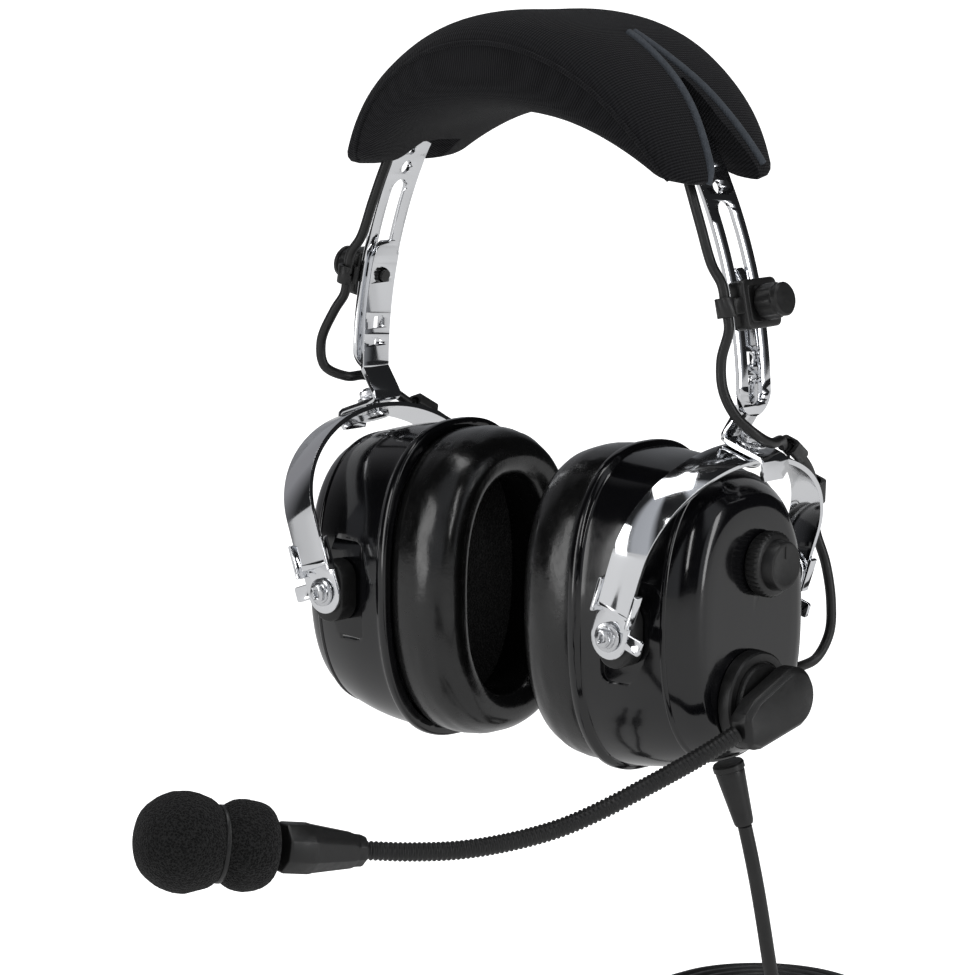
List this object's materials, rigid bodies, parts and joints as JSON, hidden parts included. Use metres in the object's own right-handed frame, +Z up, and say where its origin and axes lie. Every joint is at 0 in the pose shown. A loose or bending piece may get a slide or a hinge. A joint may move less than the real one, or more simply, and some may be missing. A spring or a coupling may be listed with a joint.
{
  "type": "aviation headset",
  "caption": "Over-ear aviation headset with chrome headband, padded crown, tilting ear cups, boom microphone and plug cord.",
  "frame": {"origin": "midway between the two ear cups, on the line through their centres, inside the head space", "axes": "+X towards the wearer's left ear cup, which carries the boom; -Y the way the wearer faces; +Z up to the crown pad"},
  "size_m": [0.1857, 0.3031, 0.3335],
  "materials": {
    "polished_chrome": "mirror-polished chrome plating",
    "bright_steel": "bright zinc-plated fasteners",
    "gloss_plastic": "high gloss black",
    "matte_plastic": "fine-textured satin black",
    "seal_vinyl": "smooth glossy vinyl skin",
    "acoustic_foam": "open-cell black foam",
    "knit_fabric": "fine ribbed knit over padding",
    "binding_tape": "woven slate-grey binding",
    "cable_rubber": "satin flexible jacket",
    "plug_metal": "polished plug contacts"
  },
  "bodies": {
    "headband": {"headband_spring": "polished_chrome", "headpad": "knit_fabric", "left_crossover_crown": "cable_rubber", "right_crossover_crown": "cable_rubber"},
    "left_slider": {"left_slider": "polished_chrome", "left_clamp_block": "matte_plastic", "left_swivel_bolt": "bright_steel", "left_crossover_upper": "cable_rubber"},
    "left_clamp_knob": {"left_clamp_knob": "matte_plastic"},
    "left_stirrup": {"left_stirrup": "polished_chrome", "left_bracket_front": "polished_chrome", "left_bracket_rear": "polished_chrome", "left_pivot_screw_front": "bright_steel", "left_pivot_screw_rear": "bright_steel", "left_stirrup_clip_top": "matte_plastic", "left_crossover_lower": "cable_rubber", "left_stirrup_clip_rear": "matte_plastic"},
    "left_cup": {"left_hinge_block_front": "matte_plastic", "left_hinge_block_rear": "matte_plastic", "left_ear_cup": "gloss_plastic", "left_ear_seal": "seal_vinyl", "left_ear_foam": "acoustic_foam", "left_speaker_baffle": "matte_plastic", "left_speaker": "matte_plastic", "volume_control": "matte_plastic", "boom_base": "matte_plastic", "strain_relief": "cable_rubber", "cord_tube": "cable_rubber", "cord_coil": "cable_rubber", "coil_tie": "matte_plastic", "cord_tail": "cable_rubber", "cord_splitter": "cable_rubber", "headphone_lead": "cable_rubber", "microphone_lead": "cable_rubber", "headphone_plug": "plug_metal", "microphone_plug": "plug_metal"},
    "right_slider": {"right_slider": "polished_chrome", "right_clamp_block": "matte_plastic", "right_swivel_bolt": "bright_steel", "right_crossover_upper": "cable_rubber"},
    "right_clamp_knob": {"right_clamp_knob": "matte_plastic"},
    "right_stirrup": {"right_stirrup": "polished_chrome", "right_bracket_front": "polished_chrome", "right_bracket_rear": "polished_chrome", "right_pivot_screw_front": "bright_steel", "right_pivot_screw_rear": "bright_steel", "right_stirrup_clip_top": "matte_plastic", "right_crossover_lower": "cable_rubber"},
    "right_cup": {"right_hinge_block_front": "matte_plastic", "right_hinge_block_rear": "matte_plastic", "right_ear_cup": "gloss_plastic", "right_ear_seal": "seal_vinyl", "right_ear_foam": "acoustic_foam", "right_speaker_baffle": "matte_plastic", "right_speaker": "matte_plastic"},
    "volume_knob": {"volume_knob": "matte_plastic"},
    "boom": {"boom_arm": "matte_plastic", "gooseneck": "cable_rubber", "mic_housing": "matte_plastic", "mic_windscreen": "acoustic_foam"}
  },
  "joints": [
    {"name": "left_slider_slide", "type": "hinge", "parent": "headband", "child": "left_slider", "pos_m": [-0.0734, 0.002, 0.0646], "axis": [0, -1, 0], "range_deg": [-2, 1.1], "deforming": ["left_crossover_crown"]},
    {"name": "left_clamp_turn", "type": "hinge", "parent": "left_slider", "child": "left_clamp_knob", "pos_m": [0.0749, 0.002, 0.09558], "axis": [0.9789, 0, 0.2045], "continuous": true},
    {"name": "left_stirrup_swivel", "type": "hinge", "parent": "left_slider", "child": "left_stirrup", "pos_m": [0.0776, 0.002, 0.0539], "axis": [0.3272, 0, 0.9449], "range_deg": [-12, 12], "deforming": ["left_crossover_upper"]},
    {"name": "left_cup_tilt", "type": "hinge", "parent": "left_stirrup", "child": "left_cup", "pos_m": [0.0583, 0, -0.0017], "axis": [0, 1, 0], "range_deg": [-10, 10], "deforming": ["left_crossover_lower"]},
    {"name": "right_slider_slide", "type": "hinge", "parent": "headband", "child": "right_slider", "pos_m": [0.0734, 0.002, 0.0646], "axis": [0, 1, 0], "range_deg": [-2, 1.1], "deforming": ["right_crossover_crown"]},
    {"name": "right_clamp_turn", "type": "hinge", "parent": "right_slider", "child": "right_clamp_knob", "pos_m": [-0.0749, 0.002, 0.09558], "axis": [-0.9789, 0, 0.2045], "continuous": true},
    {"name": "right_stirrup_swivel", "type": "hinge", "parent": "right_slider", "child": "right_stirrup", "pos_m": [-0.0776, 0.002, 0.0539], "axis": [-0.3272, 0, 0.9449], "range_deg": [-12, 12], "deforming": ["right_crossover_upper"]},
    {"name": "right_cup_tilt", "type": "hinge", "parent": "right_stirrup", "child": "right_cup", "pos_m": [-0.0583, 0, -0.0017], "axis": [0, -1, 0], "range_deg": [-10, 10], "deforming": ["right_crossover_lower"]},
    {"name": "volume_turn", "type": "hinge", "parent": "left_cup", "child": "volume_knob", "pos_m": [0.08, 0.005, 0.017], "axis": [1, 0, 0], "range_deg": [-140, 140]},
    {"name": "boom_pivot", "type": "hinge", "parent": "left_cup", "child": "boom", "pos_m": [0.084, -0.002, -0.024], "axis": [1, 0, 0], "range_deg": [-50, 25]}
  ]
}
